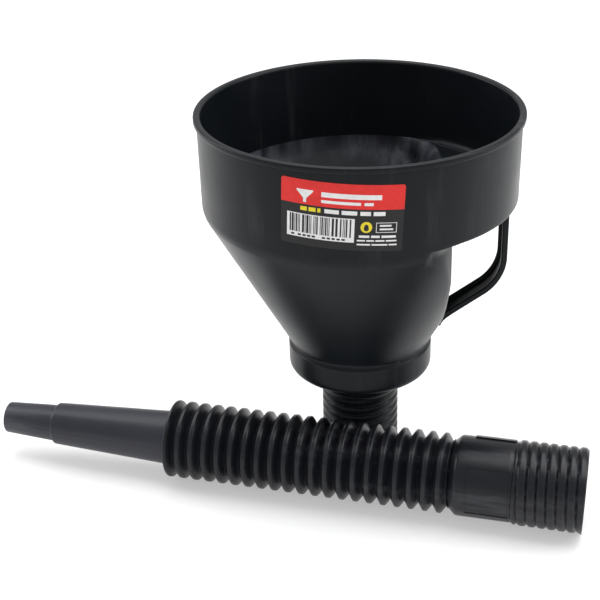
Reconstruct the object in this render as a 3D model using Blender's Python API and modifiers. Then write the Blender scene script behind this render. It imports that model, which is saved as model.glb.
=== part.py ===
"""Fuel funnel with a strap handle, a lift-out strainer and a flexible screw-on spout.

Metres, +Z up. The funnel stands on the open end of its threaded nipple, and the spout lies beside it
along X, with its screw coupling at +X and its nozzle at -X. The origin is the bottom centre of the whole.
"""

import math

import bmesh
import bpy
from mathutils import Matrix, Vector

# Funnel body, standing on the open end of its nipple
FUNNEL_X = 0.032
RIM_RADIUS = 0.080
RIM_Z = 0.196
LIP_WIDTH = 0.0036
LIP_THICKNESS = 0.003
BOWL_HEIGHT = 0.0475
BOWL_TAPER = 0.0004
SHOULDER_RADIUS = 0.012
WALL = 0.0021
COLLAR_RADIUS = 0.0372
COLLAR_HEIGHT = 0.0147
COLLAR_STEP = 0.0015
COLLAR_EDGE = 0.004
COLLAR_WALL = 0.0035
COLLAR_FLOOR = 0.002
NIPPLE_LENGTH = 0.0557
NIPPLE_RADIUS = 0.0201
NIPPLE_WALL = 0.0033

# Handle, and the recess in the cone that makes room for the fingers
HANDLE_TURN = math.radians(15.0)
STRAP_INSET = 0.0039
STRAP_DEPTH = 0.0032
STRAP_WIDTH = 0.015
STRAP_RIB = 0.0022
STRAP_GROOVE = 0.0017
STRAP_BEND_RADIUS = 0.025
STRAP_FOOT_DROP = 0.0004
STRAP_FOOT_SLOPE = math.radians(34.5)
FINGER_GAP = 0.0296
SHELF_RISE = 0.0037
RECESS_FLAT_HALF = 0.046
RECESS_CORNER_RADIUS = 0.030
RECESS_CORNER_SWEEP = math.radians(55.0)

# Label on the bowl, stuck on a little askew. Its middle's angle is about the funnel's axis, from -Y to +X
LABEL_ANGLE = math.radians(6.8)
LABEL_TILT = math.radians(-2.8)
LABEL_WIDTH = 0.0555
LABEL_HEIGHT = 0.0315
LABEL_DROP = 0.0232
LABEL_THICKNESS = 0.0003
LABEL_COLUMNS = 12

# Strainer that lies on the collar's floor
STRAINER_CLEARANCE = 0.0006
STRAINER_RING_WIDTH = 0.0035
STRAINER_RING_HEIGHT = 0.006
GAUZE_THICKNESS = 0.0008

# Spout, with its lengths along X
SPOUT_LENGTH = 0.31
SPOUT_CLEARANCE = 0.0018
THREAD_LENGTH = 0.035
THREAD_WALL = 0.0008
THREAD_CLEARANCE = 0.0003
SLEEVE_LENGTH = 0.032
SLEEVE_STEP = 0.0009
SLEEVE_WALL = 0.0014
SLEEVE_CHAMFER = 0.0026
FOLD_COUNT = 22
FOLD_PITCH = 0.00715
FOLD_WIDTH = 0.0028
CREST_RADIUS = 0.0203
ROOT_RADIUS = 0.0162
BELLOWS_WALL = 0.001
NOZZLE_ROOT_RADIUS = 0.0142
NOZZLE_STEP_RADIUS = 0.0112
NOZZLE_TUBE_RADIUS = 0.0098
NOZZLE_TIP_RADIUS = 0.0083
NOZZLE_TUBE_LENGTH = 0.027
NOZZLE_WALL = 0.0012

# Gap kept between touching pieces, and the facets of each turned shape
GAP = 0.0003
FUNNEL_SEGMENTS = 56
STRAINER_SEGMENTS = 32
SLEEVE_SEGMENTS = 32
BELLOWS_SEGMENTS = 16
ARC_STEPS = 5

# Worked out from the sizes above
BOWL_TOP_RADIUS = RIM_RADIUS - LIP_WIDTH + WALL
BOWL_BASE_RADIUS = BOWL_TOP_RADIUS - BOWL_TAPER
BOWL_BASE_Z = RIM_Z - BOWL_HEIGHT
COLLAR_TOP_Z = NIPPLE_LENGTH + COLLAR_HEIGHT
NECK_RADIUS = COLLAR_RADIUS - COLLAR_STEP
NECK_Z = COLLAR_TOP_Z + COLLAR_STEP
CONE_ANGLE = math.atan2(BOWL_BASE_RADIUS - NECK_RADIUS, BOWL_BASE_Z - NECK_Z)
STRAP_REACH = BOWL_BASE_RADIUS - STRAP_INSET
RECESS_WALL = STRAP_REACH - STRAP_DEPTH - FINGER_GAP
RECESS_FOOT_Z = NECK_Z + (RECESS_WALL - NECK_RADIUS) / math.tan(CONE_ANGLE)
SHELF_Z = BOWL_BASE_Z + SHELF_RISE
THREAD_BORE = NIPPLE_RADIUS + THREAD_CLEARANCE
THREAD_RADIUS = THREAD_BORE + THREAD_WALL
SLEEVE_RADIUS = THREAD_RADIUS - SLEEVE_STEP
SPOUT_Z = max(THREAD_RADIUS, CREST_RADIUS)
SPOUT_Y = -(NIPPLE_RADIUS + SPOUT_CLEARANCE + SPOUT_Z)
MOUTH_X = SPOUT_LENGTH / 2
TIP_X = -SPOUT_LENGTH / 2
SLEEVE_END_X = MOUTH_X - THREAD_LENGTH - SLEEVE_LENGTH
NOZZLE_START_X = SLEEVE_END_X - (FOLD_COUNT - 1) * FOLD_PITCH
RING_HALF = (FOLD_PITCH - FOLD_WIDTH) / 2
FLANK_SLOPE = (CREST_RADIUS - ROOT_RADIUS) / (FOLD_PITCH / 2)

OVERSHOOT = 0.001
MERGE = 0.00001


def clear_scene():
    for thing in list(bpy.data.objects):
        bpy.data.objects.remove(thing, do_unlink=True)


def new_collection(name, shown=True):
    collection = bpy.data.collections.new(name)
    collection.hide_render = not shown
    bpy.context.scene.collection.children.link(collection)
    return collection


def new_material(name, colour, roughness, metallic=0.0):
    material = bpy.data.materials.new(name)
    material.use_nodes = True
    shader = material.node_tree.nodes["Principled BSDF"]
    shader.inputs["Base Color"].default_value = (*colour, 1.0)
    shader.inputs["Roughness"].default_value = roughness
    shader.inputs["Metallic"].default_value = metallic
    return material


def place(thing, material, collection):
    """Adds an object to a collection. A cutter has no material and is never rendered."""
    collection.objects.link(thing)
    if material is None:
        thing.hide_render = True
        thing.display_type = "WIRE"
    else:
        thing.data.materials.append(material)
    return thing


def turned(name, profile, segments, material, collection, closed=False):
    """Turned solid about local Z. The profile's (radius, z) points run down the outer side."""
    mesh = bpy.data.meshes.new(name)
    edges = [(i, i + 1) for i in range(len(profile) - 1)]
    if closed:
        edges.append((len(profile) - 1, 0))
    mesh.from_pydata([(radius, 0.0, z) for radius, z in profile], edges, [])
    thing = place(bpy.data.objects.new(name, mesh), material, collection)
    screw = thing.modifiers.new("turn", "SCREW")
    screw.axis = "Z"
    screw.steps = segments
    screw.render_steps = segments
    screw.use_smooth_shade = True
    screw.use_merge_vertices = True
    screw.merge_threshold = MERGE
    return thing


def outline_solid(name, outline, thickness, material, collection):
    """Flat outline in local XY with half the thickness to each side, as a mesh."""
    curve = bpy.data.curves.new(name + "_outline", "CURVE")
    curve.dimensions = "2D"
    curve.fill_mode = "BOTH"
    curve.extrude = thickness / 2
    spline = curve.splines.new("POLY")
    spline.points.add(len(outline) - 1)
    for point, (x, y) in zip(spline.points, outline):
        point.co = (x, y, 0.0, 1.0)
    spline.use_cyclic_u = True
    flat = bpy.data.objects.new(name + "_outline", curve)
    bpy.context.scene.collection.objects.link(flat)
    graph = bpy.context.evaluated_depsgraph_get()
    mesh = bpy.data.meshes.new_from_object(flat.evaluated_get(graph))
    bpy.data.objects.remove(flat, do_unlink=True)
    shape = bmesh.new()
    shape.from_mesh(mesh)
    bmesh.ops.remove_doubles(shape, verts=shape.verts, dist=MERGE)
    bmesh.ops.recalc_face_normals(shape, faces=shape.faces)
    shape.to_mesh(mesh)
    shape.free()
    mesh.materials.clear()
    return place(bpy.data.objects.new(name, mesh), material, collection)


def cut(thing, cutter):
    boolean = thing.modifiers.new("cut_" + cutter.name, "BOOLEAN")
    boolean.operation = "DIFFERENCE"
    boolean.solver = "EXACT"
    boolean.object = cutter


def arc(centre, radius, start, end, steps=ARC_STEPS):
    """Points on an arc from one angle to another, both ends included."""
    angles = [start + (end - start) * i / steps for i in range(steps + 1)]
    return [(centre[0] + radius * math.cos(a), centre[1] + radius * math.sin(a)) for a in angles]


def rounded_corner(before, corner, after, radius):
    """Points that round a corner of an outline with an arc."""
    here = Vector(corner)
    first = (Vector(before) - here).normalized()
    second = (Vector(after) - here).normalized()
    half = first.angle(second) / 2
    centre = here + (first + second).normalized() * radius / math.sin(half)
    start = here + first * radius / math.tan(half) - centre
    end = here + second * radius / math.tan(half) - centre
    turn = start.angle_signed(end)
    first_angle = math.atan2(start.y, start.x)
    return arc(centre, radius, first_angle, first_angle - turn)


def bowl_radius(z):
    """Outer radius of the bowl's wall at a height."""
    return BOWL_TOP_RADIUS - BOWL_TAPER * (RIM_Z - z) / BOWL_HEIGHT


def bowl_line(inset):
    """Bowl and cone from the rim down to the neck, moved inwards by inset."""
    top = (BOWL_TOP_RADIUS - inset, RIM_Z)
    base = (BOWL_BASE_RADIUS - inset, BOWL_BASE_Z + inset * math.tan(CONE_ANGLE / 2))
    neck = (NECK_RADIUS - inset / math.cos(CONE_ANGLE), NECK_Z)
    return top, rounded_corner(top, base, neck, SHOULDER_RADIUS - inset), neck


def funnel_body(material, parts, cutters):
    shoulder, neck = bowl_line(0.0)[1:]
    under_lip = RIM_Z - LIP_THICKNESS
    edge_centre = (COLLAR_RADIUS - COLLAR_EDGE, NIPPLE_LENGTH + COLLAR_EDGE)
    outer = [(0.0, RIM_Z), (RIM_RADIUS, RIM_Z), (RIM_RADIUS, under_lip)]
    outer += [(bowl_radius(under_lip), under_lip)] + shoulder
    outer += [neck, (COLLAR_RADIUS, COLLAR_TOP_Z)] + arc(edge_centre, COLLAR_EDGE, 0.0, -math.pi / 2)
    outer += [(NIPPLE_RADIUS, NIPPLE_LENGTH), (NIPPLE_RADIUS, 0.0), (0.0, 0.0)]
    body = turned("funnel_body", outer, FUNNEL_SEGMENTS, material, parts)
    body.location.x = FUNNEL_X

    top, shoulder, neck = bowl_line(WALL)
    chamber = COLLAR_RADIUS - COLLAR_WALL
    bore = NIPPLE_RADIUS - NIPPLE_WALL
    floor_z = NIPPLE_LENGTH + COLLAR_FLOOR
    inner = [(0.0, RIM_Z + OVERSHOOT), (top[0], RIM_Z + OVERSHOOT), top] + shoulder + [neck]
    inner += [(chamber, NECK_Z - abs(chamber - neck[0])), (chamber, floor_z)]
    inner += [(bore, floor_z), (bore, -OVERSHOOT), (0.0, -OVERSHOOT)]
    cavity = turned("cavity_cutter", inner, FUNNEL_SEGMENTS, None, cutters)
    cavity.location.x = FUNNEL_X

    cut(body, recess_cutter("recess_cutter", 0.0, cutters))
    cut(cavity, recess_cutter("recess_wall_cutter", WALL, cutters))
    cut(body, cavity)


def recess_cutter(name, grow, cutters):
    """Block that takes the finger recess out of the cone, grown by a wall on the cavity's side."""
    wall = RECESS_WALL - grow
    reach = RIM_RADIUS + OVERSHOOT
    centre = (wall - RECESS_CORNER_RADIUS, RECESS_FLAT_HALF)
    outline = arc(centre, RECESS_CORNER_RADIUS, 0.0, RECESS_CORNER_SWEEP)
    outline += [(outline[-1][0], reach), (reach, reach)]
    outline += [(across, -along) for across, along in reversed(outline)]
    low, high = COLLAR_TOP_Z + OVERSHOOT, SHELF_Z + grow
    cutter = outline_solid(name, outline, high - low, None, cutters)
    cutter.location = (FUNNEL_X, 0.0, (low + high) / 2)
    cutter.rotation_euler.z = HANDLE_TURN
    return cutter


def strap_side(offset, overshoot=0.0):
    """One side of the strap as (reach, z) points, moved inwards from its outer face by offset."""
    reach = STRAP_REACH - offset
    foot_reach = RECESS_WALL + GAP - overshoot
    foot_z = RECESS_FOOT_Z - STRAP_FOOT_DROP + offset / math.cos(STRAP_FOOT_SLOPE)
    foot = (foot_reach, foot_z - overshoot * math.tan(STRAP_FOOT_SLOPE))
    knee = (reach, foot[1] + (reach - foot_reach) * math.tan(STRAP_FOOT_SLOPE))
    top = (reach, SHELF_Z - GAP + overshoot)
    return [top] + rounded_corner(top, knee, foot, STRAP_BEND_RADIUS - offset) + [foot]


def handle(material, parts, cutters):
    """Channel-section strap from the shelf under the bowl to the foot of the recess."""
    outline = strap_side(0.0) + strap_side(STRAP_DEPTH)[::-1]
    strap = outline_solid("handle", outline, STRAP_WIDTH, material, parts)
    outline = strap_side(STRAP_DEPTH - STRAP_GROOVE, OVERSHOOT)
    outline += strap_side(STRAP_DEPTH + OVERSHOOT, OVERSHOOT)[::-1]
    groove = outline_solid("groove_cutter", outline, STRAP_WIDTH - 2 * STRAP_RIB, None, cutters)
    for thing in (strap, groove):
        thing.location.x = FUNNEL_X
        thing.rotation_euler = (math.pi / 2, 0.0, HANDLE_TURN)
    cut(strap, groove)


def label(material, parts):
    """Thin sheet bent round the bowl's wall."""
    sheet = bmesh.new()
    bmesh.ops.create_grid(sheet, x_segments=LABEL_COLUMNS, y_segments=1, size=0.5)
    for vertex in sheet.verts:
        flat = Vector((vertex.co.x * LABEL_WIDTH, vertex.co.y * LABEL_HEIGHT))
        flat.rotate(Matrix.Rotation(LABEL_TILT, 2))
        z = RIM_Z - LABEL_DROP + flat.y
        angle = LABEL_ANGLE + flat.x / BOWL_TOP_RADIUS
        radius = bowl_radius(z) + GAP
        vertex.co = (radius * math.sin(angle), -radius * math.cos(angle), z)
    mesh = bpy.data.meshes.new("label")
    sheet.to_mesh(mesh)
    sheet.free()
    thing = place(bpy.data.objects.new("label", mesh), material, parts)
    thing.location.x = FUNNEL_X
    solidify = thing.modifiers.new("thickness", "SOLIDIFY")
    solidify.thickness = LABEL_THICKNESS
    solidify.offset = 1.0


def strainer(frame_material, gauze_material, parts):
    """A ring that drops onto the collar's floor, and the gauze held inside it."""
    outer = COLLAR_RADIUS - COLLAR_WALL - STRAINER_CLEARANCE
    inner = outer - STRAINER_RING_WIDTH
    low = NIPPLE_LENGTH + COLLAR_FLOOR + GAP
    high = low + STRAINER_RING_HEIGHT
    ring = [(inner, high), (outer, high), (outer, low), (inner, low)]
    frame = turned("strainer_ring", ring, STRAINER_SEGMENTS, frame_material, parts, closed=True)
    frame.location.x = FUNNEL_X
    middle = (low + high) / 2
    edge = inner * math.cos(math.pi / STRAINER_SEGMENTS) - GAP
    disc = [(0.0, middle + GAUZE_THICKNESS / 2), (edge, middle + GAUZE_THICKNESS / 2)]
    disc += [(radius, z - GAUZE_THICKNESS) for radius, z in reversed(disc)]
    gauze = turned("strainer_gauze", disc, STRAINER_SEGMENTS, gauze_material, parts)
    gauze.location.x = FUNNEL_X


def on_spout_axis(thing, x):
    """Lays a turned piece along X with its own zero at x."""
    thing.location = (x, SPOUT_Y, SPOUT_Z)
    thing.rotation_euler.y = math.pi / 2
    return thing


def flank_radius(distance):
    """Outer radius of the bellows at a distance from a fold's plane."""
    return ROOT_RADIUS + FLANK_SLOPE * distance


def screw_coupling(material, parts):
    """Sleeve that screws onto the nipple. Its zero is the first fold's plane."""
    start = FOLD_WIDTH / 2
    neck = flank_radius(start)
    end = SLEEVE_LENGTH + THREAD_LENGTH
    bore = SLEEVE_RADIUS - SLEEVE_WALL
    profile = [
        (THREAD_RADIUS, end),
        (THREAD_RADIUS, SLEEVE_LENGTH),
        (SLEEVE_RADIUS, SLEEVE_LENGTH),
        (SLEEVE_RADIUS, start + SLEEVE_CHAMFER),
        (neck, start),
        (neck - SLEEVE_WALL, start),
        (bore, start + SLEEVE_CHAMFER + SLEEVE_WALL / 2),
        (bore, SLEEVE_LENGTH),
        (THREAD_BORE, SLEEVE_LENGTH + SLEEVE_WALL),
        (THREAD_BORE, end),
    ]
    sleeve = turned("screw_coupling", profile, SLEEVE_SEGMENTS, material, parts, closed=True)
    on_spout_axis(sleeve, SLEEVE_END_X)


def bellows(material, parts):
    """Crest rings, and between them the folds that flex when the spout bends."""
    edge = flank_radius(FOLD_WIDTH / 2)
    wall = BELLOWS_WALL * math.sqrt(1.0 + FLANK_SLOPE**2)
    ring = [
        (edge, RING_HALF),
        (CREST_RADIUS, 0.0),
        (edge, -RING_HALF),
        (edge - wall, -RING_HALF),
        (CREST_RADIUS - wall, 0.0),
        (edge - wall, RING_HALF),
    ]
    fold_half = FOLD_WIDTH / 2 - GAP
    fold_radius = flank_radius(fold_half / 2)
    fold = [
        (fold_radius, fold_half),
        (fold_radius, -fold_half),
        (fold_radius - BELLOWS_WALL, -fold_half),
        (fold_radius - BELLOWS_WALL, fold_half),
    ]
    for number in range(1, FOLD_COUNT):
        name = f"bellows_ring_{number:02d}"
        crest = turned(name, ring, BELLOWS_SEGMENTS, material, parts, closed=True)
        on_spout_axis(crest, SLEEVE_END_X - (number - 0.5) * FOLD_PITCH)
    for number in range(FOLD_COUNT):
        name = f"bellows_fold_{number + 1:02d}"
        valley = turned(name, fold, BELLOWS_SEGMENTS, material, parts, closed=True)
        on_spout_axis(valley, SLEEVE_END_X - number * FOLD_PITCH)


def pouring_nozzle(material, parts):
    """Tapered nozzle with a small step before its tip. Its zero is the last fold's plane."""
    start = -FOLD_WIDTH / 2
    root = flank_radius(FOLD_WIDTH / 2) - BELLOWS_WALL
    shoulder = start - (root - NOZZLE_ROOT_RADIUS) * 2
    end = TIP_X - NOZZLE_START_X
    step = end + NOZZLE_TUBE_LENGTH
    step_length = (NOZZLE_STEP_RADIUS - NOZZLE_TUBE_RADIUS) * 1.5
    outer = [
        (root, start),
        (NOZZLE_ROOT_RADIUS, shoulder),
        (NOZZLE_STEP_RADIUS, step),
        (NOZZLE_TUBE_RADIUS, step - step_length),
        (NOZZLE_TIP_RADIUS, end),
    ]
    profile = outer + [(radius - NOZZLE_WALL, z) for radius, z in reversed(outer)]
    nozzle = turned("pouring_nozzle", profile, SLEEVE_SEGMENTS, material, parts, closed=True)
    on_spout_axis(nozzle, NOZZLE_START_X)


def main():
    clear_scene()
    parts = new_collection("funnel")
    cutters = new_collection("cutters", shown=False)
    body_plastic = new_material("body_plastic", (0.030, 0.031, 0.034), 0.38)
    spout_plastic = new_material("spout_plastic", (0.034, 0.035, 0.040), 0.34)
    label_film = new_material("label_film", (0.72, 0.06, 0.05), 0.45)
    brass = new_material("brass", (0.62, 0.46, 0.20), 0.35, 1.0)
    ring_plastic = new_material("ring_plastic", (0.028, 0.028, 0.030), 0.5)
    funnel_body(body_plastic, parts, cutters)
    handle(body_plastic, parts, cutters)
    label(label_film, parts)
    strainer(ring_plastic, brass, parts)
    screw_coupling(spout_plastic, parts)
    bellows(spout_plastic, parts)
    pouring_nozzle(spout_plastic, parts)


main()
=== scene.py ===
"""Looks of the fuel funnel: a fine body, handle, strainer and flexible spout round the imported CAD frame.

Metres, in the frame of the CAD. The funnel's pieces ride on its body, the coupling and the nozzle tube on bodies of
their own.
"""

import math
import random

import bmesh
import bpy
import numpy as np
from mathutils import Matrix, Vector


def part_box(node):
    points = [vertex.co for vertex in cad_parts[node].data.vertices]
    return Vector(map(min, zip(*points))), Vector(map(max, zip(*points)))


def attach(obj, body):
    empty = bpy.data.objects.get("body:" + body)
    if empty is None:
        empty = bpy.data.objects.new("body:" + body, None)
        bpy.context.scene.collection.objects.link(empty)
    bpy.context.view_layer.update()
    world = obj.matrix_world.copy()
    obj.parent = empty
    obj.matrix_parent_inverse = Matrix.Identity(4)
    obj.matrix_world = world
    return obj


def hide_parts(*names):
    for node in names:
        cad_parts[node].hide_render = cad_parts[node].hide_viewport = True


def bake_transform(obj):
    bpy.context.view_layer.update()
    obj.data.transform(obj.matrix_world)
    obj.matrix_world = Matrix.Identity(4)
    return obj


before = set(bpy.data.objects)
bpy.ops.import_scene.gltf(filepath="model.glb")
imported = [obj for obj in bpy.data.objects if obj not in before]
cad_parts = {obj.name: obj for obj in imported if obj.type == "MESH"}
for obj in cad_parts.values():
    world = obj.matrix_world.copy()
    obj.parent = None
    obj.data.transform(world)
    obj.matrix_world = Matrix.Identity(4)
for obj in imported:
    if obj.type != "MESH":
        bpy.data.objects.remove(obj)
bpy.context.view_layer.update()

# Places read from the frame
BODY_LOW, BODY_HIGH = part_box("funnel_body")
COUPLING_LOW, COUPLING_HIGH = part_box("screw_coupling")
FOLDS = sum(name.startswith("bellows_fold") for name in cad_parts)
FIRST_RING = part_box("bellows_ring_01")
LAST_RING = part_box(f"bellows_ring_{FOLDS - 1:02d}")
LABEL_LOW, LABEL_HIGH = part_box("label")
RING_LOW, RING_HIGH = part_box("strainer_ring")
GAUZE_LOW, GAUZE_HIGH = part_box("strainer_gauze")

# Funnel body
FUNNEL_X = (BODY_LOW.x + BODY_HIGH.x) / 2
RIM_Z = BODY_HIGH.z
RIM_RADIUS = (BODY_HIGH.x - BODY_LOW.x) / 2
LIP_WIDTH = 0.0036
LIP_THICKNESS = 0.003
WALL = 0.0021
BOWL_HEIGHT = 0.0475
BOWL_TAPER = 0.0004
SHOULDER_RADIUS = 0.012
INNER_SHOULDER_RADIUS = 0.017
COLLAR_RADIUS = 0.0372
COLLAR_TOP_Z = 0.0704
COLLAR_BASE_Z = 0.0557
COLLAR_STEP = 0.0015
COLLAR_EDGE = 0.004
COLLAR_WALL = 0.0035
COLLAR_FLOOR = 0.002
NIPPLE_RADIUS = 0.0201
NIPPLE_BORE = 0.0168
NIPPLE_BAND_RADIUS = 0.0207
NIPPLE_BAND_Z = 0.044
THREAD_PITCH = 0.00485
THREAD_DEPTH = 0.0012
THREAD_STEPS_PER_TURN = 14
INNER_LIP_DROP = 0.0018

# Handle and finger recess
HANDLE_TURN = math.radians(15.0)
STRAP_INSET = 0.0039
STRAP_DEPTH = 0.0032
STRAP_WIDTH = 0.015
STRAP_RIB = 0.0022
STRAP_GROOVE = 0.0017
STRAP_BEND_RADIUS = 0.025
STRAP_FOOT_SLOPE = math.radians(34.5)
STRAP_FLARE = 0.0016
STRAP_FLARE_REACH = 0.0022
STRAP_SINK = 0.0012
FINGER_GAP = 0.0296
SHELF_RISE = 0.0037
RECESS_FLAT_HALF = 0.046
RECESS_CORNER_RADIUS = 0.030
RECESS_CORNER_SWEEP = math.radians(55.0)
RECESS_LIP = 0.0016
RECESS_FILLET = 0.0055
RECESS_INNER_LIP = 0.0035
RECESS_INNER_FILLET = 0.007
RECESS_BLEND = 0.0018
BODY_COLUMNS = 240

# Spout
SPOUT_Y = (COUPLING_LOW.y + COUPLING_HIGH.y) / 2
SPOUT_Z = (COUPLING_LOW.z + COUPLING_HIGH.z) / 2
MOUTH_X = COUPLING_HIGH.x
TIP_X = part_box("pouring_nozzle")[0].x
THREAD_LENGTH = 0.035
THREAD_RADIUS = COUPLING_HIGH.z - SPOUT_Z
SLEEVE_RADIUS = THREAD_RADIUS - 0.0009
CREST_RADIUS = FIRST_RING[1].z - SPOUT_Z
ROOT_RADIUS = 0.0162
BELLOWS_WALL = 0.001
CREST_LAND = 0.16
CREST_CROWN = 0.00008
CREST_SOFTNESS = 0.12
ROOT_BEAD = 0.00028
ROOT_BEAD_SPREAD = 0.07
HALF_FOLD = (0.0, 0.03, 0.06, 0.08, 0.10, 0.13, 0.17, 0.22, 0.28, 0.34, 0.40, 0.44, 0.46, 0.475, 0.49)
FOLD_PHASES = HALF_FOLD + (0.5,) + tuple(1 - phase for phase in reversed(HALF_FOLD))
CREST_X = [
    (FIRST_RING[0].x + FIRST_RING[1].x) / 2
    + ((LAST_RING[0].x + LAST_RING[1].x) - (FIRST_RING[0].x + FIRST_RING[1].x)) / 2 * k / (FOLDS - 2)
    for k in range(FOLDS - 1)
]
FOLD_PITCH = CREST_X[0] - CREST_X[1]
SLEEVE_END_X = CREST_X[0] + FOLD_PITCH / 2
NOZZLE_START_X = CREST_X[-1] - FOLD_PITCH / 2
NOZZLE_ROOT_RADIUS = 0.0142
NOZZLE_STEP_RADIUS = 0.0112
NOZZLE_TUBE_RADIUS = 0.0098
NOZZLE_TIP_RADIUS = 0.0083
NOZZLE_TUBE_LENGTH = 0.0292
NOZZLE_STEP_LENGTH = 0.0012
NOZZLE_FLANK = 0.0021
NOZZLE_WALL = 0.0012
NOZZLE_BEND_END_X = 2 * NOZZLE_START_X - CREST_X[-1]
NOZZLE_STEP_X = TIP_X + NOZZLE_TUBE_LENGTH
SEAM_ANGLE = math.radians(176.0)
SEAM_HEIGHT = 0.00025
SEAM_HALF_TURN = 0.03
SPOUT_COLUMNS = 128

# Coupling
SLEEVE_WALL = 0.0014
THREAD_WALL = 0.0008
COUPLING_RIDGE_DEPTH = 0.0012
COUPLING_RIDGE_OFFSET = 0.0009
COUPLING_RIDGE_BREADTH = 1.2
FLASH_ANGLE = math.radians(232.0)
FLASH_TURN = 0.05
FLASH_HEIGHT = 0.0008
PANEL_SPAN, PANEL_ANGLES, PANEL_HEIGHT = (0.0975, 0.1195), (132.0, 209.0), 0.0003
PANEL_LINE = 0.0006
BAR_SPAN, BAR_ANGLES, BAR_HEIGHT = (0.0995, 0.1198), (64.0, 74.0), 0.0007
DETAIL_DEPTH = 0.0003
SPECK_LENGTH, SPECK_TURN, SPECK_HEIGHT = 0.0005, 1.2, 0.0002
SPECKS = ((0.0946, 169.0), (0.1010, 152.0), (0.1112, 178.0), (0.0962, 196.0), (0.1150, 160.0))

# Label
LABEL_ANGLE = math.radians(6.8)
LABEL_TILT = math.radians(-2.8)
LABEL_Z = RIM_Z - 0.0232
LABEL_WIDTH = 0.0555
LABEL_HEIGHT = 0.0315
LABEL_CORNER = 0.0013
BAND_BOTTOM = 0.0041
FILM_LOW, FILM_HIGH = 0.00002, 0.00014
PRINT_LOW, PRINT_HIGH = 0.00010, 0.00017
PRINT_LAYER = 0.00003
DOT_X, DOT_Z, DOT_RADIUS = 0.0113, -0.0043, 0.0026
DROP_Z, DROP_RADIUS, DROP_STRETCH = -0.0050, 0.0011, 1.9
STRIPE_WIDTHS = (0.33, 0.33, 0.66, 0.99)
BLOCK_STARTS = (-22.6, -19.4, -17.2, -15.0, -12.8, -8.2, -6.0, -3.8, -1.6, 0.6)
INKS = {
    "black": (0.014, 0.014, 0.015),
    "red": (0.72, 0.028, 0.024),
    "white": (0.80, 0.80, 0.80),
    "yellow": (0.80, 0.66, 0.03),
}

# Strainer
RING_WIDTH = 0.0035
RING_COLUMNS = 144
WIRE_PITCH = 0.0012
WIRE_RADIUS = 0.0002

# Stage
FLOOR_GLOW = 0.4
FLOOR_HALF = 6.0
FLOOR_DROP = 0.0002
WORLD_STRENGTH = 0.62
LIGHT_TARGET = (0.0, -0.02, 0.08)

# Camera at the photograph's viewing angle
CAMERA_PLACE = (0.1632, -0.5841, 0.4012)
CAMERA_AZIMUTH = math.radians(15.62)
CAMERA_DROP = math.radians(27.29)
CAMERA_ROLL = math.radians(-1.63)
CAMERA_LENS = 78.0
SENSOR_WIDTH = 36.0

# Worked out from the sizes above
BOWL_TOP_RADIUS = RIM_RADIUS - LIP_WIDTH + WALL
BOWL_BASE_RADIUS = BOWL_TOP_RADIUS - BOWL_TAPER
BOWL_BASE_Z = RIM_Z - BOWL_HEIGHT
NECK_RADIUS = COLLAR_RADIUS - COLLAR_STEP
NECK_Z = COLLAR_TOP_Z + COLLAR_STEP
CONE_ANGLE = math.atan2(BOWL_BASE_RADIUS - NECK_RADIUS, BOWL_BASE_Z - NECK_Z)
STRAP_REACH = BOWL_BASE_RADIUS - STRAP_INSET
RECESS_WALL = STRAP_REACH - STRAP_DEPTH - FINGER_GAP
RECESS_FOOT_Z = NECK_Z + (RECESS_WALL - NECK_RADIUS) / math.tan(CONE_ANGLE)
SHELF_Z = BOWL_BASE_Z + SHELF_RISE


# ---------------------------------------------------------------- materials


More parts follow.
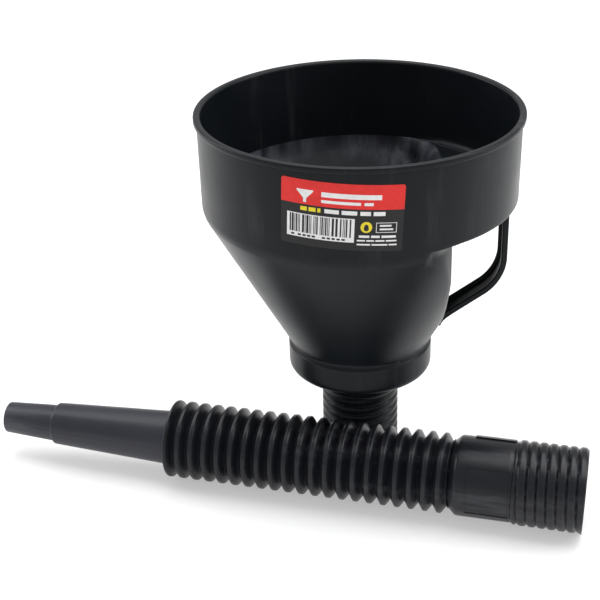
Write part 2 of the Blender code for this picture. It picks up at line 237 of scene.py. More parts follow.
class Nodes:
    """Short calls that add and join shader nodes of one material."""

    def __init__(self, name, colour, roughness, metallic=0.0):
        self.material = bpy.data.materials.new(name)
        self.material.use_nodes = True
        self.tree = self.material.node_tree
        self.shader = self.tree.nodes["Principled BSDF"]
        self.shader.inputs["Base Color"].default_value = (*colour, 1.0)
        self.shader.inputs["Roughness"].default_value = roughness
        self.shader.inputs["Metallic"].default_value = metallic
        self.place = self.tree.nodes.new("ShaderNodeTexCoord").outputs["Object"]

    def join(self, output, target):
        self.tree.links.new(output, target)

    def stretched(self, stretch):
        mapping = self.tree.nodes.new("ShaderNodeMapping")
        mapping.inputs["Scale"].default_value = stretch
        self.join(self.place, mapping.inputs["Vector"])
        return mapping.outputs["Vector"]

    def noise(self, scale, detail=3.0, rough=0.55, stretch=(1.0, 1.0, 1.0)):
        noise = self.tree.nodes.new("ShaderNodeTexNoise")
        noise.inputs["Scale"].default_value = scale
        noise.inputs["Detail"].default_value = detail
        noise.inputs["Roughness"].default_value = rough
        self.join(self.stretched(stretch), noise.inputs["Vector"])
        return noise.outputs["Fac"]

    def span(self, value, low, high, to_low=0.0, to_high=1.0):
        span = self.tree.nodes.new("ShaderNodeMapRange")
        for name, number in (("From Min", low), ("From Max", high), ("To Min", to_low), ("To Max", to_high)):
            span.inputs[name].default_value = number
        self.join(value, span.inputs["Value"])
        return span.outputs["Result"]

    def maths(self, operation, first, second):
        node = self.tree.nodes.new("ShaderNodeMath")
        node.operation = operation
        for value, target in zip((first, second), node.inputs):
            if isinstance(value, (int, float)):
                target.default_value = value
            else:
                self.join(value, target)
        return node.outputs["Value"]

    def mix(self, factor, first, second):
        mix = self.tree.nodes.new("ShaderNodeMix")
        mix.data_type = "RGBA"
        self.join(factor, mix.inputs["Factor"])
        for colour, target in ((first, mix.inputs["A"]), (second, mix.inputs["B"])):
            if isinstance(colour, tuple):
                target.default_value = (*colour, 1.0)
            else:
                self.join(colour, target)
        return mix.outputs["Result"]

    def bump(self, height, distance, strength=1.0, under=None):
        bump = self.tree.nodes.new("ShaderNodeBump")
        bump.inputs["Distance"].default_value = distance
        bump.inputs["Strength"].default_value = strength
        self.join(height, bump.inputs["Height"])
        if under is not None:
            self.join(under, bump.inputs["Normal"])
        return bump.outputs["Normal"]

    def finish(self, colour=None, roughness=None, normal=None):
        inputs = self.shader.inputs
        for output, name in ((colour, "Base Color"), (roughness, "Roughness"), (normal, "Normal")):
            if output is not None:
                self.join(output, inputs[name])
        return self.material


def moulded_plastic(name, colour, wear_and_sheen_colour, roughness, streak, gloss_level=0.24, wear_start=0.52, grain=0.00004):
    """Black polyethylene: orange-peel skin, cloudy gloss, and streaks of handling wear along one direction; on the
    bowl's inner cone their lighter colour is also painted sheen.
    """
    nodes = Nodes(name, colour, roughness)
    nodes.shader.inputs["Specular IOR Level"].default_value = gloss_level
    cloud = nodes.noise(28.0, 4.0)
    streaks = nodes.span(nodes.noise(90.0, 5.0, 0.7, streak), wear_start, wear_start + 0.24)
    patches = nodes.span(nodes.noise(13.0, 3.0, 0.5), 0.46, 0.66)
    wear = nodes.maths("MULTIPLY", streaks, patches)
    tint = nodes.mix(nodes.span(cloud, 0.3, 0.7), colour, tuple(1.25 * c for c in colour))
    gloss = nodes.span(cloud, 0.3, 0.7, roughness - 0.05, roughness + 0.06)
    skin = nodes.bump(nodes.noise(900.0, 2.0), grain)
    scuffed = nodes.bump(wear, 0.00003, 0.5, skin)
    rougher = nodes.maths("ADD", gloss, nodes.maths("MULTIPLY", wear, 0.12))
    return nodes.finish(nodes.mix(wear, tint, wear_and_sheen_colour), rougher, scuffed)


def printed_film(name, colour):
    """Ink on glossy film, with slight mottling and a few rubbed spots."""
    nodes = Nodes(name, colour, 0.35)
    nodes.shader.inputs["Specular IOR Level"].default_value = 0.25
    mottle = nodes.span(nodes.noise(260.0, 3.0), 0.35, 0.7)
    gloss = nodes.span(nodes.noise(60.0, 4.0), 0.3, 0.7, 0.28, 0.42)
    ripple = nodes.bump(nodes.noise(120.0, 2.0), 0.00002)
    return nodes.finish(nodes.mix(mottle, colour, tuple(0.88 * c for c in colour)), gloss, ripple)


def brass_wire():
    nodes = Nodes("brass_wire", (0.62, 0.44, 0.18), 0.3, 1.0)
    tarnish = nodes.span(nodes.noise(140.0, 5.0, 0.7), 0.45, 0.75)
    colour = nodes.mix(tarnish, (0.66, 0.47, 0.20), (0.30, 0.20, 0.10))
    scratches = nodes.bump(nodes.noise(1400.0, 2.0), 0.00001)
    return nodes.finish(colour, nodes.span(tarnish, 0.0, 1.0, 0.25, 0.5), scratches)


# ---------------------------------------------------------------- mesh helpers


def add_mesh(name, vertices, faces, materials, smooth=True, sharp=math.radians(40.0)):
    mesh = bpy.data.meshes.new(name)
    mesh.from_pydata([tuple(v) for v in vertices], [], faces)
    mesh.validate()
    for material in materials:
        mesh.materials.append(material)
    thing = bpy.data.objects.new(name, mesh)
    bpy.context.scene.collection.objects.link(thing)
    shape = bmesh.new()
    shape.from_mesh(mesh)
    bmesh.ops.remove_doubles(shape, verts=shape.verts, dist=1e-6)
    bmesh.ops.dissolve_degenerate(shape, edges=shape.edges, dist=1e-7)
    for face in shape.faces:
        face.smooth = smooth
    for edge in shape.edges:
        edge.smooth = not (edge.is_manifold and edge.calc_face_angle(0.0) > sharp)
    shape.to_mesh(mesh)
    shape.free()
    return thing


def grid_faces(rows, columns, around=True, along=False):
    """Faces of a grid of points whose rows run down the outer side and whose columns turn anticlockwise."""
    last_row = rows if along else rows - 1
    last_column = columns if around else columns - 1
    faces = []
    for i in range(last_row):
        low = (i + 1) % rows
        for j in range(last_column):
            right = (j + 1) % columns
            faces.append((i * columns + j, low * columns + j, low * columns + right, i * columns + right))
    return faces


def rounded(corners, spacing=0.002, steps=6, closed=False):
    """Polyline through (a, b, radius) corners, each rounded by its radius, with long stretches divided."""
    count = len(corners)
    points = []
    for i, (a, b, radius) in enumerate(corners):
        here = Vector((a, b))
        inner = closed or 0 < i < count - 1
        if radius <= 0.0 or not inner:
            points.append(here)
            continue
        before = Vector(corners[i - 1][:2])
        after = Vector(corners[(i + 1) % count][:2])
        first, second = (before - here).normalized(), (after - here).normalized()
        half = first.angle(second) / 2
        centre = here + (first + second).normalized() * radius / math.sin(half)
        start = here + first * radius / math.tan(half) - centre
        turn = start.angle_signed(here + second * radius / math.tan(half) - centre)
        angle = math.atan2(start.y, start.x)
        for k in range(steps + 1):
            swing = angle - turn * k / steps
            points.append(centre + radius * Vector((math.cos(swing), math.sin(swing))))
    dense = []
    for i, point in enumerate(points):
        dense.append(point)
        if i == len(points) - 1 and not closed:
            break
        nxt = points[(i + 1) % len(points)]
        pieces = int((nxt - point).length / spacing)
        dense += [point.lerp(nxt, k / (pieces + 1)) for k in range(1, pieces + 1)]
    return [tuple(p) for p in dense]


def around(columns):
    return np.arange(columns) * 2 * math.pi / columns


def smooth_min(first, second, width):
    mix = np.clip(0.5 + 0.5 * (second - first) / width, 0.0, 1.0)
    return second * (1 - mix) + first * mix - width * mix * (1 - mix)


class Sheets:
    """Thin closed plates in (u, v, height) that one mapping wraps round a curved wall."""

    def __init__(self, wrap):
        self.wrap, self.points, self.faces, self.slots = wrap, [], [], []

    def strip(self, span, bottom, top, low, high, slot, across=None):
        """Plate over a span of u between two edges, each a number or a function of u."""
        if across:
            count = max(2, int(abs(across[1] - across[0]) / 4.0) + 1)
            lines = np.linspace(across[0], across[1], count)
            grid = [[(u, v) for v in lines] for u in span]
        else:
            columns = max(2, int(abs(span[1] - span[0]) / 0.0018) + 2)
            if callable(top) or callable(bottom):
                columns = max(columns, 15)
            edge = [f if callable(f) else (lambda u, f=f: f) for f in (bottom, top)]
            grid = [[(u, f(u)) for f in edge] for u in np.linspace(span[0], span[1], columns)]
        self.plate(grid, low, high, slot)

    def plate(self, grid, low, high, slot):
        rows, columns = len(grid), len(grid[0])
        base = len(self.points)
        for height in (low, high):
            self.points += [self.wrap(u, v, height) for row in grid for u, v in row]
        over = base + rows * columns
        rim = [(i, 0) for i in range(rows)] + [(rows - 1, j) for j in range(1, columns)]
        rim += [(i, columns - 1) for i in range(rows - 2, -1, -1)] + [(0, j) for j in range(columns - 2, 0, -1)]
        made = []
        for i in range(rows - 1):
            for j in range(columns - 1):
                corners = [i * columns + j, (i + 1) * columns + j, (i + 1) * columns + j + 1, i * columns + j + 1]
                made.append([over + c for c in corners])
                made.append([base + c for c in reversed(corners)])
        for (i, j), (k, m) in zip(rim, rim[1:] + rim[:1]):
            here, there = i * columns + j, k * columns + m
            made.append([base + here, base + there, over + there, over + here])
        self.faces += made
        self.slots += [slot] * len(made)

    def piece(self, name, materials):
        mesh = bpy.data.meshes.new(name)
        mesh.from_pydata(self.points, [], self.faces)
        for material in materials:
            mesh.materials.append(material)
        mesh.polygons.foreach_set("material_index", self.slots)
        shape = bmesh.new()
        shape.from_mesh(mesh)
        bmesh.ops.recalc_face_normals(shape, faces=shape.faces)
        shape.to_mesh(mesh)
        shape.free()
        thing = bpy.data.objects.new(name, mesh)
        bpy.context.scene.collection.objects.link(thing)
        return thing


# ---------------------------------------------------------------- funnel body


def profile_radius(profile):
    """Radius at a height along a profile that runs down."""
    heights = np.array([z for r, z in profile])[::-1]
    radii = np.array([r for r, z in profile])[::-1]
    return lambda z: float(np.interp(z, heights, radii))


def recess_radius(theta, wall):
    """Distance from the funnel's axis to the recess wall in each direction."""
    samples = [(wall, t) for t in np.linspace(0.0, RECESS_FLAT_HALF, 30)]
    for swing in np.linspace(0.0, RECESS_CORNER_SWEEP, 30)[1:]:
        across = wall - RECESS_CORNER_RADIUS * (1 - math.cos(swing))
        samples.append((across, RECESS_FLAT_HALF + RECESS_CORNER_RADIUS * math.sin(swing)))
    samples.append((samples[-1][0], 2 * RIM_RADIUS))
    angles = np.array([math.atan2(along, across) for across, along in samples])
    reach = np.array([math.hypot(across, along) for across, along in samples])
    off = np.abs((theta - HANDLE_TURN + math.pi) % (2 * math.pi) - math.pi)
    return np.where(off < angles[-1], np.interp(off, angles, reach), 2 * RIM_RADIUS)


def recessed_rows(profile, theta, wall, ledge_z, lip, fillet):
    """(radii, z) rows down a profile, with the recess cut away under a ledge that has rounded edges."""
    radius_at = profile_radius(profile)
    cut = recess_radius(theta, wall)
    quarter = np.linspace(0.0, math.pi / 2, 8)
    top = radius_at(ledge_z)
    inner = smooth_min(np.full_like(theta, top), cut + fillet, fillet)
    ledge = np.clip((top - inner) / (2 * lip), 0.0, 1.0)
    rows = [(np.full_like(theta, r), z) for r, z in profile if z > ledge_z + 1.2 * lip]
    for swing in quarter:
        z = ledge_z + lip * (1 - math.sin(swing))
        rows.append((radius_at(z) - lip * (1 - math.cos(swing)) * ledge, z))
    outer = rows[-1][0]
    rows += [(outer + (inner - outer) * t, ledge_z) for t in (0.25, 0.5, 0.75)]
    for swing in quarter:
        z = ledge_z - fillet * (1 - math.cos(swing))
        reach = cut + fillet * (1 - math.sin(swing))
        blend = fillet + (RECESS_BLEND - fillet) * swing / (math.pi / 2)
        rows.append((smooth_min(np.full_like(theta, radius_at(z)), reach, blend), z))
    for r, z in profile:
        if z < ledge_z - 1.05 * fillet:
            rows.append((smooth_min(np.full_like(theta, r), cut, RECESS_BLEND), z))
    return rows


def thread_rows(theta):
    """Rows down the nipple, with a round-crested helical thread below its plain band."""
    rows = []
    step = THREAD_PITCH / THREAD_STEPS_PER_TURN
    count = int(NIPPLE_BAND_Z / step)
    for i in range(count + 1):
        z = NIPPLE_BAND_Z - i * step
        turn = (z / THREAD_PITCH - theta / (2 * math.pi)) % 1.0
        ridge = np.minimum(1.0, 1.25 * np.abs(np.sin(math.pi * turn))) ** 0.6
        fade = min(1.0, (NIPPLE_BAND_Z - z) / 0.003, max(0.0, z - 0.0015) / 0.002)
        end_round = 0.0006 * max(0.0, 1 - z / 0.0012)
        rows.append((NIPPLE_RADIUS - THREAD_DEPTH * (1 - ridge) * fade - end_round, max(z, 0.0)))
    return rows


def funnel_body(material, scuffed):
    theta = around(BODY_COLUMNS)
    inset = WALL / math.cos(CONE_ANGLE)
    outer = rounded(
        [
            (BOWL_TOP_RADIUS, RIM_Z - LIP_THICKNESS, 0.0),
            (BOWL_BASE_RADIUS, BOWL_BASE_Z, SHOULDER_RADIUS),
            (NECK_RADIUS, NECK_Z, 0.0),
        ],
        0.0025,
        10,
    )
    inner = rounded(
        [
            (BOWL_TOP_RADIUS - WALL, RIM_Z - INNER_LIP_DROP, 0.0),
            (BOWL_BASE_RADIUS - WALL, BOWL_BASE_Z + WALL * math.tan(CONE_ANGLE / 2), INNER_SHOULDER_RADIUS),
            (NECK_RADIUS - inset, NECK_Z, 0.0),
        ],
        0.004,
        10,
    )
    lip = rounded(
        [
            (BOWL_TOP_RADIUS - WALL, RIM_Z - INNER_LIP_DROP, 0.0),
            (BOWL_TOP_RADIUS - WALL, RIM_Z, 0.0014),
            (RIM_RADIUS, RIM_Z, 0.0009),
            (RIM_RADIUS, RIM_Z - LIP_THICKNESS, 0.0009),
            (BOWL_TOP_RADIUS, RIM_Z - LIP_THICKNESS, 0.0),
        ],
        0.0012,
        4,
    )
    collar = rounded(
        [
            (NECK_RADIUS, NECK_Z, 0.0),
            (COLLAR_RADIUS, COLLAR_TOP_Z, 0.0007),
            (COLLAR_RADIUS, COLLAR_BASE_Z, COLLAR_EDGE),
            (NIPPLE_BAND_RADIUS, COLLAR_BASE_Z, 0.0012),
            (NIPPLE_BAND_RADIUS, NIPPLE_BAND_Z + 0.0008, 0.0005),
            (NIPPLE_RADIUS, NIPPLE_BAND_Z, 0.0),
        ],
        0.002,
        5,
    )
    chamber = COLLAR_RADIUS - COLLAR_WALL
    floor_z = COLLAR_BASE_Z + COLLAR_FLOOR
    inside = rounded(
        [
            (NECK_RADIUS - inset, NECK_Z, 0.0),
            (chamber, NECK_Z - 0.001, 0.0),
            (chamber, floor_z, 0.001),
            (NIPPLE_BORE, floor_z, 0.001),
            (NIPPLE_BORE, 0.0, 0.0),
        ],
        0.006,
        4,
    )

    def plain(points):
        return [(np.full_like(theta, r), z) for r, z in points]

    rows = plain(lip[:-1]) + recessed_rows(outer, theta, RECESS_WALL, SHELF_Z, RECESS_LIP, RECESS_FILLET)
    rows += plain(collar[1:-1]) + thread_rows(theta)
    rows += plain(inside)[::-1]
    hidden_side = (RECESS_WALL - WALL, SHELF_Z + WALL, RECESS_INNER_LIP, RECESS_INNER_FILLET)
    rows += recessed_rows(inner, theta, *hidden_side)[::-1][1:]
    points = [
        (FUNNEL_X + r * math.cos(t), r * math.sin(t), z) for radii, z in rows for r, t in zip(radii, theta)
    ]
    faces = grid_faces(len(rows), BODY_COLUMNS, along=True)
    body = add_mesh("funnel_moulding", points, faces, [material, scuffed], sharp=math.radians(80.0))
    # Inner cone faces take the scuffed material: real scuff streaks whose lighter colour also paints the sheen of
    # light on the cone.
    for face in body.data.polygons:
        outward = Vector((face.center.x - FUNNEL_X, face.center.y, 0.0))
        if face.normal.dot(outward) < 0 and NECK_Z < face.center.z < BOWL_BASE_Z + 0.006:
            face.material_index = 1
    finished(body, "funnel", "body_plastic", "funnel_body")


def finished(piece, body, slot, *nodes):
    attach(piece, body)
    if nodes:
        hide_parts(*nodes)


def handle(material):
    """Channel strap swept down its own line, flared where it grows out of the body."""
    foot_z = RECESS_FOOT_Z - 0.0004
    root = RECESS_WALL - STRAP_SINK
    corner_z = foot_z + (STRAP_REACH - RECESS_WALL) * math.tan(STRAP_FOOT_SLOPE)
    root_z = foot_z - STRAP_SINK * math.tan(STRAP_FOOT_SLOPE)
    line = rounded(
        [
            (STRAP_REACH, SHELF_Z + 0.001, 0.0),
            (STRAP_REACH, corner_z, STRAP_BEND_RADIUS),
            (root, root_z, 0.0),
        ],
        0.0015,
        18,
    )
    half, web, rib = STRAP_WIDTH / 2, STRAP_DEPTH - STRAP_GROOVE, STRAP_RIB
    section = rounded(
        [
            (-half, 0.0, 0.0010),
            (half, 0.0, 0.0010),
            (half, STRAP_DEPTH, 0.0008),
            (half - rib, STRAP_DEPTH, 0.0008),
            (half - rib, web, 0.0008),
            (-half + rib, web, 0.0008),
            (-half + rib, STRAP_DEPTH, 0.0008),
            (-half, STRAP_DEPTH, 0.0008),
        ],
        0.004,
        4,
        closed=True,
    )
    across = Vector((-math.sin(HANDLE_TURN), math.cos(HANDLE_TURN), 0.0))
    outward = Vector((math.cos(HANDLE_TURN), math.sin(HANDLE_TURN), 0.0))
    total = sum((Vector(b) - Vector(a)).length for a, b in zip(line, line[1:]))
    travelled, points = 0.0, []
    for i, (reach, z) in enumerate(line):
        before, after = Vector(line[max(i - 1, 0)]), Vector(line[min(i + 1, len(line) - 1)])
        if i:
            travelled += (Vector(line[i]) - Vector(line[i - 1])).length
        tangent = (after - before).normalized()
        inward = Vector((tangent.y, -tangent.x))
        near = min(travelled, total - travelled)
        flare = STRAP_FLARE * math.exp(-near / STRAP_FLARE_REACH)
        for v, depth in section:
            wide = v + math.copysign(flare, v) * abs(v) / half
            deep = depth + flare * (depth / STRAP_DEPTH - 0.5) * 2
            spot = Vector((reach, z)) + inward * deep
            points.append(Vector((FUNNEL_X, 0.0, 0.0)) + outward * spot.x + across * wide + Vector((0, 0, spot.y)))
    columns = len(section)
    faces = grid_faces(len(line), columns)
    faces.append(tuple(range(columns)))
    faces.append(tuple(reversed(range((len(line) - 1) * columns, len(line) * columns))))
    strap = add_mesh("handle_strap", points, faces, [material])
    finished(strap, "funnel", "body_plastic", "handle")


def label():
    """Film on the bowl, a little askew, with generic print: a red band, plain bars and a block of stripes."""
    tilt = Matrix.Rotation(LABEL_TILT, 2)

    def on_bowl(u, v, height):
        flat = Vector((u, v))
        flat.rotate(tilt)
        z = LABEL_Z + flat.y
        angle = LABEL_ANGLE + flat.x / BOWL_TOP_RADIUS
        radius = BOWL_TOP_RADIUS - BOWL_TAPER * (RIM_Z - z) / BOWL_HEIGHT + height
        return (FUNNEL_X + radius * math.sin(angle), -radius * math.cos(angle), z)

    half, tall, corner = LABEL_WIDTH / 2, LABEL_HEIGHT / 2, LABEL_CORNER
    black, red, white, yellow = range(4)
    sheets = Sheets(on_bowl)

    def corner_drop(u):
        beyond = max(0.0, abs(u) - half + corner)
        return corner - math.sqrt(max(0.0, corner**2 - beyond**2))

    def top(u):
        return tall - corner_drop(u)

    def bottom(u):
        return -tall + corner_drop(u)

    for span in ((-half, -half + corner), (-half + corner, half - corner), (half - corner, half)):
        sheets.strip(span, bottom, top, FILM_LOW, FILM_HIGH, black)
        sheets.strip(span, BAND_BOTTOM, top, PRINT_LOW, PRINT_HIGH, red)

    def bars(spans, low, high, slot, layers=1):
        """Bars in millimetres from the label's middle."""
        for start, end in spans:
            edges = (start / 1000, end / 1000), low / 1000, high / 1000
            sheets.strip(*edges, PRINT_LOW, PRINT_HIGH + layers * PRINT_LAYER, slot)

    def cone(u):
        return 0.0106 - 0.0042 * (1 - abs(u + 0.0165) / 0.0038)

    def half_chord(u, radius):
        return math.sqrt(max(0.0, radius**2 - (u - DOT_X) ** 2))

    # Pictogram of a funnel, and plain bars beside it
    sheets.strip((-0.0203, -0.0127), cone, 0.0112, PRINT_LOW, PRINT_HIGH + PRINT_LAYER, white)
    bars([(-17.2, -15.8)], 5.2, 7.6, white)
    bars([(-9.0, 17.5)], 8.7, 11.0, white)
    bars([(-9.0, 8.5), (10.0, 14.0)], 5.9, 7.3, white)
    bars([(-18.4, -15.4), (-14.6, -11.4), (-10.6, -9.2)], 1.2, 3.1, yellow)
    bars([(-7.4, -1.0), (0.2, 7.0), (8.4, 13.0), (14.2, 19.4)], 1.2, 3.1, white)

    # Block of stripes
    bars([(-24.7, 6.1)], -11.9, -0.5, white)
    draw = random.Random(7)
    u = -23.4
    while u < 4.6:
        wide = draw.choice(STRIPE_WIDTHS)
        bars([(u, u + wide)], -9.6, -0.9, black, layers=2)
        u += wide + draw.choice(STRIPE_WIDTHS)
    bars([(start, start + 1.5) for start in BLOCK_STARTS], -11.3, -10.4, black, layers=2)

    # Dot with a drop, a small frame, and lines of plain bars
    sheets.strip(
        (DOT_X - DOT_RADIUS, DOT_X + DOT_RADIUS),
        lambda u: DOT_Z - half_chord(u, DOT_RADIUS),
        lambda u: DOT_Z + half_chord(u, DOT_RADIUS),
        PRINT_LOW,
        PRINT_HIGH + PRINT_LAYER,
        yellow,
    )
    sheets.strip(
        (DOT_X - DROP_RADIUS, DOT_X + DROP_RADIUS),
        lambda u: DROP_Z - half_chord(u, DROP_RADIUS),
        lambda u: DROP_Z + DROP_STRETCH * half_chord(u, DROP_RADIUS),
        PRINT_LOW,
        PRINT_HIGH + 2 * PRINT_LAYER,
        black,
    )
    bars([(15.6, 24.8)], -6.8, -6.55, white)
    bars([(15.6, 24.8)], -2.25, -2.0, white)
    bars([(15.6, 15.85), (24.55, 24.8)], -6.8, -2.0, white)
    bars([(17.2, 22.4)], -3.9, -3.1, white)
    bars([(17.2, 23.2)], -5.6, -4.8, white)
    bars([(8.2, 12.8), (13.6, 17.4), (18.2, 24.6)], -9.3, -8.2, white)
    bars([(7.4, 11.0), (11.6, 15.0), (15.6, 19.6), (20.2, 25.0)], -11.1, -10.4, white)
    bars([(7.4, 13.4), (14.0, 21.0), (21.6, 25.2)], -13.0, -12.3, white)

    inks = [printed_film(f"label_{name}", colour) for name, colour in INKS.items()]
    finished(sheets.piece("label_film", inks), "funnel", "label_film", "label")


def strainer(plastic, metal):
    """Ring with a grip bead, and woven gauze moulded into its middle."""
    outer = (RING_HIGH.x - RING_LOW.x) / 2
    inner = outer - RING_WIDTH
    low, high = RING_LOW.z, RING_HIGH.z
    outline = rounded(
        [
            (outer - 0.0006, high, 0.0004),
            (outer - 0.0006, high - 0.0016, 0.0003),
            (outer, high - 0.0020, 0.0003),
            (outer, low, 0.0005),
            (inner, low, 0.0005),
            (inner, high, 0.0007),
        ],
        0.002,
        4,
        closed=True,
    )
    theta = around(RING_COLUMNS)
    points = [(FUNNEL_X + r * math.cos(t), r * math.sin(t), z) for r, z in outline for t in theta]
    ring = add_mesh("strainer_rim", points, grid_faces(len(outline), RING_COLUMNS, along=True), [plastic])
    finished(ring, "strainer", "ring_plastic", "strainer_ring")

    reach = inner + 0.0006
    middle = (GAUZE_LOW.z + GAUZE_HIGH.z) / 2
    count = int(reach / WIRE_PITCH)
    points, faces = [], []
    for turned in (False, True):
        for k in range(-count, count + 1):
            across = k * WIRE_PITCH
            length = math.sqrt(max(0.0, reach**2 - across**2))
            steps = max(2, int(2 * length / WIRE_PITCH) * 2)
            base = len(points)
            for i in range(steps + 1):
                along = -length + 2 * length * i / steps
                wave = math.cos(math.pi * (along / WIRE_PITCH + k + turned)) * WIRE_RADIUS * 0.9
                for side, lift in ((1, 0), (0, 1), (-1, 0), (0, -1)):
                    spot = (along, across + side * WIRE_RADIUS, middle + wave + lift * WIRE_RADIUS)
                    x, y = (spot[1], spot[0]) if turned else spot[:2]
                    points.append((FUNNEL_X + x, y, spot[2]))
            order = (0, 1, 2, 3) if not turned else (3, 2, 1, 0)
            faces.append([base + c for c in reversed(order)])
            faces.append([base + steps * 4 + c for c in order])
            for i in range(steps):
                for a, b in zip(order, order[1:] + order[:1]):
                    faces.append([base + i * 4 + a, base + i * 4 + b, base + i * 4 + 4 + b, base + i * 4 + 4 + a])
    gauze = add_mesh("strainer_weave", points, faces, [metal], sharp=math.radians(95.0))
    finished(gauze, "strainer", "brass_gauze", "strainer_gauze")


# ---------------------------------------------------------------- spout


def on_spout(radius, theta, x):
    return (x, SPOUT_Y + radius * math.cos(theta), SPOUT_Z + radius * math.sin(theta))


def spout_piece(name, rows, material, along=False):
    """Turned piece about the spout's axis. Each row is (radii, x), and rows run from +X to -X on the outer side."""
    theta = around(SPOUT_COLUMNS)
    points = [on_spout(r, t, x) for radii, x in rows for r, t in zip(radii, theta)]
    return add_mesh(name, points, grid_faces(len(rows), SPOUT_COLUMNS, along=along), [material])


def level(radius):
    return np.full(SPOUT_COLUMNS, radius)


def fold_radius(phase):
    """Outer radius across one fold, with phase 0 on a crest, 0.5 in the valley and 1 on the next crest."""
    from_crest = 1 - abs(2 * phase - 1)
    beyond_land = max(0.0, from_crest - CREST_LAND) / (1 - CREST_LAND)
    full = math.hypot(1.0, CREST_SOFTNESS) - CREST_SOFTNESS
    drop = (math.hypot(beyond_land, CREST_SOFTNESS) - CREST_SOFTNESS) / full
    crown = CREST_CROWN * (from_crest / CREST_LAND) ** 2 * (from_crest < CREST_LAND)
    bead = ROOT_BEAD * math.exp(-(((1 - from_crest) / ROOT_BEAD_SPREAD) ** 2))
    return CREST_RADIUS - crown - (CREST_RADIUS - ROOT_RADIUS) * drop + bead


def bellows(material):
    """One piece from each crest to the next, so that every valley has a piece of its own."""
    for number in range(FOLDS - 2):
        start, end = CREST_X[number], CREST_X[number + 1]
        rows = [(level(fold_radius(phase)), start + (end - start) * phase) for phase in FOLD_PHASES]
        for phase in FOLD_PHASES[::-2]:
            rows.append((level(fold_radius(phase) - BELLOWS_WALL), start + (end - start) * phase))
        piece = spout_piece(f"bellows_{number + 1:02d}", rows, material)
        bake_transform(piece)
        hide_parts(f"bellows_ring_{number + 1:02d}", f"bellows_fold_{number + 2:02d}")
    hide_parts(f"bellows_ring_{FOLDS - 1:02d}")


def coupling_shoulder(material):
    """From the coupling's shoulder over the first valley to the first crest."""
    start, end = SLEEVE_END_X + 0.0008, CREST_X[0]
    steps = 12
    rows = []
    for i in range(steps + 1):
        x = start + (end - start) * i / steps
        phase = 0.5 + (SLEEVE_END_X - x) / FOLD_PITCH
        rows.append((level(fold_radius(phase)), x))
    for radii, x in rows[::-2]:
        rows.append((radii - BELLOWS_WALL, x))
    piece = spout_piece("bellows_start", rows, material)
    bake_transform(piece)
    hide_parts("bellows_fold_01")


def thread_wave(x, theta):
    """Coupling thread's height from 0 in a groove to 1 on a ridge, fading in from the sleeve."""
    turn = ((MOUTH_X - COUPLING_RIDGE_OFFSET - x) / THREAD_PITCH + theta / (2 * math.pi)) % 1.0
    fade = min(1.0, max(0.0, (x - (MOUTH_X - THREAD_LENGTH)) / 0.002))
    return np.minimum(1.0, COUPLING_RIDGE_BREADTH * np.abs(np.sin(math.pi * turn))) ** 0.8 * fade


def coupling(material):
    """Sleeve with a corrugated screw end, a raised panel and bar, and a little flash at its mouth."""
    theta = around(SPOUT_COLUMNS)
    thread_start = MOUTH_X - THREAD_LENGTH
    groove = THREAD_RADIUS - COUPLING_RIDGE_DEPTH
    flash = np.exp(-(((theta - FLASH_ANGLE) / FLASH_TURN) ** 2)) * FLASH_HEIGHT
    outer = []
    steps = 140
    for i in range(steps + 1):
        x = MOUTH_X - THREAD_LENGTH * i / steps
        lip = flash * math.exp(-i / 1.2)
        outer.append((groove + COUPLING_RIDGE_DEPTH * thread_wave(x, theta) + lip, x))
    sleeve = rounded(
        [
            (groove, thread_start, 0.0),
            (SLEEVE_RADIUS, thread_start - 0.0004, 0.0),
            (SLEEVE_RADIUS, SLEEVE_END_X + 0.0046, 0.0025),
            (ROOT_RADIUS + 0.0007, SLEEVE_END_X + 0.0010, 0.0006),
            (ROOT_RADIUS + 0.0002, SLEEVE_END_X + 0.0008, 0.0),
        ],
        0.002,
        8,
    )
    outer += [(level(r), x) for r, x in sleeve[1:]]
    bore = level(SLEEVE_RADIUS - SLEEVE_WALL)
    inner = [(level(ROOT_RADIUS - BELLOWS_WALL), SLEEVE_END_X + 0.0008)]
    inner += [(bore, SLEEVE_END_X + 0.005), (bore, thread_start - 0.0004)]
    inner += [(radii - THREAD_WALL, x) for radii, x in outer[steps::-1]]
    piece = spout_piece("coupling_sleeve", outer + inner, material, along=True)
    finished(piece, "coupling", "spout_plastic", "screw_coupling")

    def on_sleeve(x, angle, height):
        return on_spout(SLEEVE_RADIUS + height, math.radians(angle), x)

    details = Sheets(on_sleeve)
    (x0, x1), (low, high) = PANEL_SPAN, PANEL_ANGLES
    wide, turn = PANEL_LINE, math.degrees(PANEL_LINE / SLEEVE_RADIUS)
    for edge in (low, high - turn):
        details.strip((x0, x1), edge, edge + turn, -DETAIL_DEPTH, PANEL_HEIGHT, 0)
    for edge in (x0, x1 - wide):
        details.strip((edge, edge + wide), low, high, -DETAIL_DEPTH, PANEL_HEIGHT, 0, across=(low, high))
    (x0, x1), (low, high) = BAR_SPAN, BAR_ANGLES
    details.strip((x0, x1), low, high, -DETAIL_DEPTH, BAR_HEIGHT, 0, across=(low, high))
    for x, angle in SPECKS:
        details.strip((x, x + SPECK_LENGTH), angle, angle + SPECK_TURN, -DETAIL_DEPTH, SPECK_HEIGHT, 0)
    finished(details.piece("coupling_panel", [material]), "coupling", "spout_plastic")


def nozzle_radius(x):
    """Outer radius of the nozzle's cone between its root and its step."""
    root_x = CREST_X[-1] - NOZZLE_FLANK
    share = (root_x - x) / (root_x - NOZZLE_STEP_X)
    return NOZZLE_ROOT_RADIUS + (NOZZLE_STEP_RADIUS - NOZZLE_ROOT_RADIUS) * share


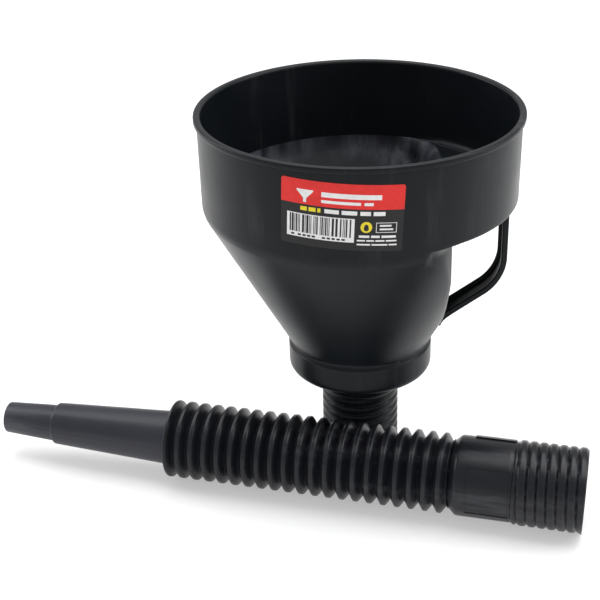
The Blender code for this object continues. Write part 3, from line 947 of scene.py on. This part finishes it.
def nozzle_end(material):
    """From the last crest down to the nozzle's root and past the last hinge."""
    start, end = CREST_X[-1], NOZZLE_BEND_END_X
    outer = []
    for phase in HALF_FOLD:
        share = 2 * phase
        radius = fold_radius(phase) - (ROOT_RADIUS - NOZZLE_ROOT_RADIUS) * share**2
        outer.append((radius, start - NOZZLE_FLANK * share))
    root_x = start - NOZZLE_FLANK
    outer += [(nozzle_radius(x), x) for x in np.linspace(root_x - 0.0003, end, 8)]
    rows = [(level(r), x) for r, x in outer] + [(level(r - NOZZLE_WALL), x) for r, x in outer[::-2]]
    piece = spout_piece("bellows_end", rows, material)
    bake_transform(piece)
    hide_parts(f"bellows_fold_{FOLDS:02d}")


def nozzle(material):
    """Tapered tube with a step near its tip and a faint mould seam along both sides."""
    theta = around(SPOUT_COLUMNS)
    start_x, step_x = NOZZLE_BEND_END_X, NOZZLE_STEP_X
    start_radius = nozzle_radius(start_x)
    outline = rounded(
        [
            (start_radius, start_x, 0.0),
            (NOZZLE_STEP_RADIUS, step_x, 0.0008),
            (NOZZLE_TUBE_RADIUS, step_x - NOZZLE_STEP_LENGTH, 0.0005),
            (NOZZLE_TIP_RADIUS, TIP_X, 0.0005),
            (NOZZLE_TIP_RADIUS - NOZZLE_WALL, TIP_X, 0.0004),
            (NOZZLE_TUBE_RADIUS - NOZZLE_WALL, step_x - NOZZLE_STEP_LENGTH, 0.0),
            (NOZZLE_STEP_RADIUS - NOZZLE_WALL, step_x, 0.0),
            (start_radius - NOZZLE_WALL, start_x, 0.0),
        ],
        0.004,
        5,
    )
    away = (theta - SEAM_ANGLE) % math.pi
    seam = np.exp(-((np.minimum(away, math.pi - away) / SEAM_HALF_TURN) ** 2))
    rows = [(level(r) + SEAM_HEIGHT * seam, x) for r, x in outline]
    piece = spout_piece("nozzle_tube", rows, material)
    finished(piece, "nozzle", "spout_plastic", "pouring_nozzle")


# ---------------------------------------------------------------- stage


def stage():
    """Pale floor like a light table, whose own glow keeps the shadows soft."""
    nodes = Nodes("floor_paint", (0.86, 0.86, 0.86), 0.6)
    speckle = nodes.span(nodes.noise(30.0, 3.0), 0.3, 0.7)
    material = nodes.finish(nodes.mix(speckle, (0.56, 0.56, 0.565), (0.58, 0.58, 0.58)))
    nodes.shader.inputs["Emission Color"].default_value = (1.0, 1.0, 1.0, 1.0)
    nodes.shader.inputs["Emission Strength"].default_value = FLOOR_GLOW
    size = FLOOR_HALF
    corners = [(-size, -size, 0.0), (size, -size, 0.0), (size, size, 0.0), (-size, size, 0.0)]
    floor = add_mesh("floor", corners, [(0, 1, 2, 3)], [material])
    floor.location.z = -FLOOR_DROP


def area_light(name, place, target, size, power):
    light = bpy.data.lights.new(name, "AREA")
    light.shape = "RECTANGLE"
    light.size, light.size_y = size
    light.energy = power
    lamp = bpy.data.objects.new(name, light)
    lamp.location = place
    lamp.rotation_euler = (Vector(target) - Vector(place)).to_track_quat("-Z", "Y").to_euler()
    bpy.context.scene.collection.objects.link(lamp)


def lights():
    world = bpy.data.worlds.new("studio")
    world.use_nodes = True
    background = world.node_tree.nodes["Background"]
    background.inputs["Color"].default_value = (1.0, 1.0, 1.0, 1.0)
    background.inputs["Strength"].default_value = WORLD_STRENGTH
    bpy.context.scene.world = world
    bpy.context.scene.view_settings.view_transform = "Standard"
    area_light("top_box", (0.05, 0.2, 1.3), LIGHT_TARGET, (1.5, 1.2), 21.0)
    area_light("left_box", (-1.1, 0.1, 0.7), LIGHT_TARGET, (0.5, 1.0), 6.0)
    area_light("right_box", (1.1, 0.2, 0.7), LIGHT_TARGET, (0.5, 1.0), 6.0)


def camera():
    data = bpy.data.cameras.new("camera")
    data.lens = CAMERA_LENS
    data.sensor_width = SENSOR_WIDTH
    data.clip_start, data.clip_end = 0.01, 50.0
    turn, drop, roll = CAMERA_AZIMUTH, CAMERA_DROP, CAMERA_ROLL
    forward = Vector((-math.sin(turn) * math.cos(drop), math.cos(turn) * math.cos(drop), -math.sin(drop)))
    level_right = Vector((math.cos(turn), math.sin(turn), 0.0))
    level_up = level_right.cross(forward)
    right = math.cos(roll) * level_right + math.sin(roll) * level_up
    up = math.cos(roll) * level_up - math.sin(roll) * level_right
    eye = bpy.data.objects.new("camera", data)
    eye.matrix_world = Matrix.Translation(CAMERA_PLACE) @ Matrix((right, up, -forward)).transposed().to_4x4()
    bpy.context.scene.collection.objects.link(eye)
    bpy.context.scene.camera = eye


def main():
    camera()
    lights()
    stage()
    body_plastic = moulded_plastic(
        "body_polyethylene", (0.0048, 0.0062, 0.0078), (0.05, 0.053, 0.06), 0.33, (1.0, 1.0, 0.1), 0.15
    )
    # Inner cone finish: real scuff streaks, with a lighter colour that also paints the sheen of light on the cone.
    scuffed_sheen_plastic = moulded_plastic(
        "scuffed_sheen_polyethylene", (0.014, 0.015, 0.019), (0.16, 0.165, 0.2), 0.42, (1.0, 1.0, 0.16), 0.3, 0.40
    )
    spout_plastic = moulded_plastic(
        "spout_polyethylene", (0.0062, 0.0068, 0.0095), (0.06, 0.062, 0.07), 0.30, (0.12, 1.0, 1.0), 0.26
    )
    nozzle_plastic = moulded_plastic(
        "nozzle_polyethylene", (0.0165, 0.0175, 0.025), (0.075, 0.077, 0.09), 0.36, (0.08, 1.0, 1.0), 0.34, 0.46
    )
    ring_plastic = moulded_plastic(
        "ring_polyethylene", (0.012, 0.012, 0.013), (0.06, 0.06, 0.062), 0.45, (1.0, 1.0, 0.3)
    )
    funnel_body(body_plastic, scuffed_sheen_plastic)
    handle(body_plastic)
    coupling(spout_plastic)
    coupling_shoulder(spout_plastic)
    bellows(spout_plastic)
    nozzle_end(nozzle_plastic)
    nozzle(nozzle_plastic)
    label()
    strainer(ring_plastic, brass_wire())


main()
